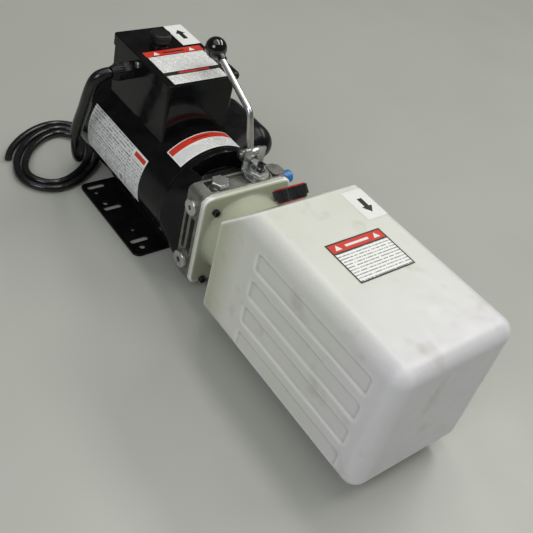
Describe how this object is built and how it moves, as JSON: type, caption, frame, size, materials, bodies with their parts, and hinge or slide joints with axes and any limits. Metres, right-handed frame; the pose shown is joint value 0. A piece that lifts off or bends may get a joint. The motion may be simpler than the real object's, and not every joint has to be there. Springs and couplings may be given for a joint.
{
  "type": "hydraulic power unit",
  "caption": "Hydraulic power unit: horizontal electric motor on a slotted plate, cast pump block with release lever, and a tapered-shoulder oil tank in one line.",
  "frame": {"origin": "centre of the four corner slots, on the back face of the mounting plate", "axes": "+X from the motor to the closed end of the tank along the shaft, +Z away from the mounting plate, -Y towards the supply cord"},
  "size_m": [0.7875, 0.3097, 0.2848],
  "materials": {
    "black_paint": "gloss black enamel",
    "satin_black_paint": "satin black powder coat",
    "cast_aluminium": "as-cast, lightly machined faces",
    "zinc_plate": "bright zinc plate",
    "steel": "ground steel",
    "black_steel": "black oxide",
    "copper": "enamelled copper wire",
    "lamination": "stacked electrical steel",
    "white_polyethylene": "blow-moulded natural polyethylene",
    "black_plastic": "moulded black plastic",
    "gloss_black_plastic": "polished black phenolic",
    "red_plastic": "red moulded plastic",
    "blue_plastic": "blue moulded plastic",
    "black_rubber": "smooth black rubber",
    "olive_rubber": "bonded seal washer",
    "white_plastic": "white nylon",
    "chrome_steel": "polished bearing steel"
  },
  "bodies": {
    "unit": {"bearing_outer_rings": "steel", "box_lid": "black_paint", "button_boot": "black_rubber", "capacitor": "white_plastic", "capacitor_cover": "satin_black_paint", "check_spring": "black_steel", "control_box": "black_paint", "cord_grip": "black_plastic", "cord_sleeve": "black_rubber", "front_bell": "black_paint", "grip_nut": "black_plastic", "hex_plug": "zinc_plate", "lever_bracket": "zinc_plate", "lever_pin": "steel", "lid_screws": "zinc_plate", "lower_plug": "zinc_plate", "motor_shell": "black_paint", "mounting_bracket": "black_paint", "overload_cover": "satin_black_paint", "plug_washer": "olive_rubber", "port_plug": "blue_plastic", "power_cord": "black_rubber", "pump_block": "cast_aluminium", "pump_bolts": "black_steel", "pump_cover": "cast_aluminium", "pump_housing": "cast_aluminium", "rear_bell": "black_paint", "relief_screw": "steel", "relief_spring": "black_steel", "return_tube": "white_plastic", "shaft_seal": "black_rubber", "start_switch": "black_plastic", "stator_core": "lamination", "stator_windings": "copper", "suction_strainer": "black_plastic", "suction_tube": "white_plastic", "tank": "white_polyethylene", "tank_screws": "black_steel", "tank_seal": "black_rubber", "through_bolts": "black_steel", "upper_plug": "zinc_plate", "valve_cartridge": "steel", "valve_nut": "zinc_plate", "valve_spring": "black_steel"},
    "drive_line": {"rotor_core": "lamination", "motor_shaft": "steel", "bearing_inner_rings": "steel", "shaft_coupling": "steel", "drive_gear": "steel"},
    "ball_sets": {"bearing_balls": "chrome_steel"},
    "driven_gear": {"driven_gear": "steel"},
    "lever": {"release_lever": "zinc_plate", "lever_knob": "gloss_black_plastic"},
    "valve_stem": {"valve_stem": "black_steel"},
    "start_button": {"start_button": "black_plastic"},
    "relief_poppet": {"relief_poppet": "steel"},
    "check_ball": {"check_ball": "chrome_steel"},
    "cap_lift": {"cap_gasket": "black_rubber"},
    "filler_cap": {"filler_cap": "black_plastic", "cap_liner": "red_plastic"}
  },
  "joints": [
    {"name": "shaft_spin", "type": "hinge", "parent": "unit", "child": "drive_line", "pos_m": [0, 0, 0.086], "axis": [1, 0, 0], "continuous": true},
    {"name": "ball_orbit", "type": "hinge", "parent": "unit", "child": "ball_sets", "pos_m": [0, 0, 0.086], "axis": [1, 0, 0], "continuous": true},
    {"name": "driven_gear_spin", "type": "hinge", "parent": "unit", "child": "driven_gear", "pos_m": [0, 0, 0.062], "axis": [1, 0, 0], "continuous": true},
    {"name": "lever_pull", "type": "hinge", "parent": "unit", "child": "lever", "pos_m": [0.136, 0.028, 0.177], "axis": [0, -1, 0], "range_deg": [0, 7]},
    {"name": "stem_lift", "type": "slide", "parent": "unit", "child": "valve_stem", "axis": [0, 0, 1], "range_m": [0, 0.0032], "deforming": ["valve_spring"]},
    {"name": "button_press", "type": "slide", "parent": "unit", "child": "start_button", "axis": [0, 0, -1], "range_m": [0, 0.004], "stiffness_N_per_m": 800, "deforming": ["button_boot"]},
    {"name": "relief_open", "type": "slide", "parent": "unit", "child": "relief_poppet", "axis": [0, -1, 0], "range_m": [0, 0.002], "deforming": ["relief_spring"]},
    {"name": "check_open", "type": "slide", "parent": "unit", "child": "check_ball", "axis": [0, -1, 0], "range_m": [0, 0.0025], "deforming": ["check_spring"]},
    {"name": "cap_rise", "type": "slide", "parent": "unit", "child": "cap_lift", "axis": [-0.7071, 0, 0.7071], "range_m": [0, 0.01201]},
    {"name": "cap_turn", "type": "hinge", "parent": "cap_lift", "child": "filler_cap", "pos_m": [0.26025, 0, 0.19525], "axis": [-0.7071, 0, 0.7071], "range_deg": [0, 1080]}
  ],
  "couplings": [
    {"joint": "ball_orbit", "follows": "shaft_spin", "ratio": 0.382},
    {"joint": "driven_gear_spin", "follows": "shaft_spin", "ratio": -1},
    {"joint": "stem_lift", "follows": "lever_pull", "m_per_rad": 0.0252},
    {"joint": "cap_rise", "follows": "cap_turn", "m_per_rad": 0.00063662}
  ]
}
